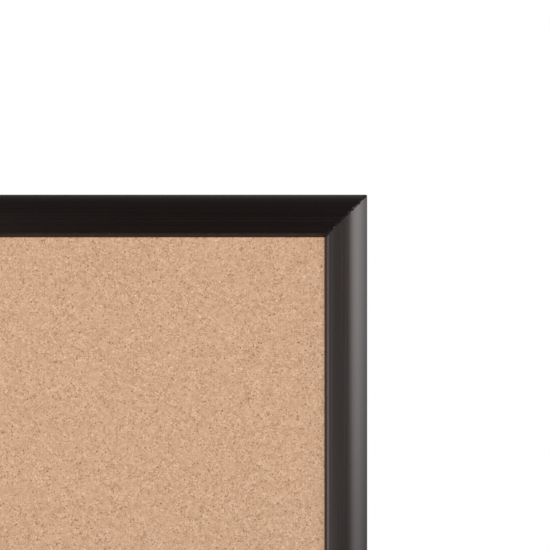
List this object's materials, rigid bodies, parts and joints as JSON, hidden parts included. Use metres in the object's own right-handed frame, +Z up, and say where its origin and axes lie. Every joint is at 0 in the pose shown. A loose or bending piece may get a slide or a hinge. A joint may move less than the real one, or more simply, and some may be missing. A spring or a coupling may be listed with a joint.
{
  "type": "cork bulletin board",
  "caption": "Rectangular cork notice board in a mitred dark wood moulding, for hanging on a wall by two swinging D-rings.",
  "frame": {"origin": "centre of the board's outline on the wall plane, which is the back of the wall bumpers", "axes": "+X along the width to the viewer's right, +Y into the wall, +Z up; the cork faces -Y"},
  "size_m": [0.914, 0.024, 0.61],
  "materials": {
    "frame_stain": "black-brown stain under a satin clear coat",
    "cork": "fine-grained natural agglomerated cork, sanded, matt",
    "fibreboard": "brown wood-fibre board, matt",
    "kraft_paper": "brown kraft paper, matt",
    "nail_steel": "blued spring steel",
    "point_steel": "dark spring steel",
    "plated_steel": "bright zinc or nickel plate",
    "bumper_rubber": "soft matt rubber"
  },
  "bodies": {
    "board": {"top_rail": "frame_stain", "right_stile": "frame_stain", "bottom_rail": "frame_stain", "left_stile": "frame_stain", "cork_sheet": "cork", "core_board": "fibreboard", "kraft_backing": "kraft_paper", "mitre_nails_top_left": "nail_steel", "mitre_nails_top_right": "nail_steel", "mitre_nails_bottom_left": "nail_steel", "mitre_nails_bottom_right": "nail_steel", "retaining_points_top": "point_steel", "retaining_points_right": "point_steel", "retaining_points_bottom": "point_steel", "retaining_points_left": "point_steel", "hanger_strap_left": "plated_steel", "hanger_strap_right": "plated_steel", "hanger_screws_left": "plated_steel", "hanger_screws_right": "plated_steel", "wall_bumper_left": "bumper_rubber", "wall_bumper_right": "bumper_rubber"},
    "left_d_ring": {"d_ring_left": "plated_steel"},
    "right_d_ring": {"d_ring_right": "plated_steel"}
  },
  "joints": [
    {"name": "left_ring_swing", "type": "hinge", "parent": "board", "child": "left_d_ring", "pos_m": [-0.445, -0.00295, 0.195], "axis": [1, 0, 0], "range_deg": [0, 175.5]},
    {"name": "right_ring_swing", "type": "hinge", "parent": "board", "child": "right_d_ring", "pos_m": [0.445, -0.00295, 0.195], "axis": [1, 0, 0], "range_deg": [0, 175.5]}
  ]
}
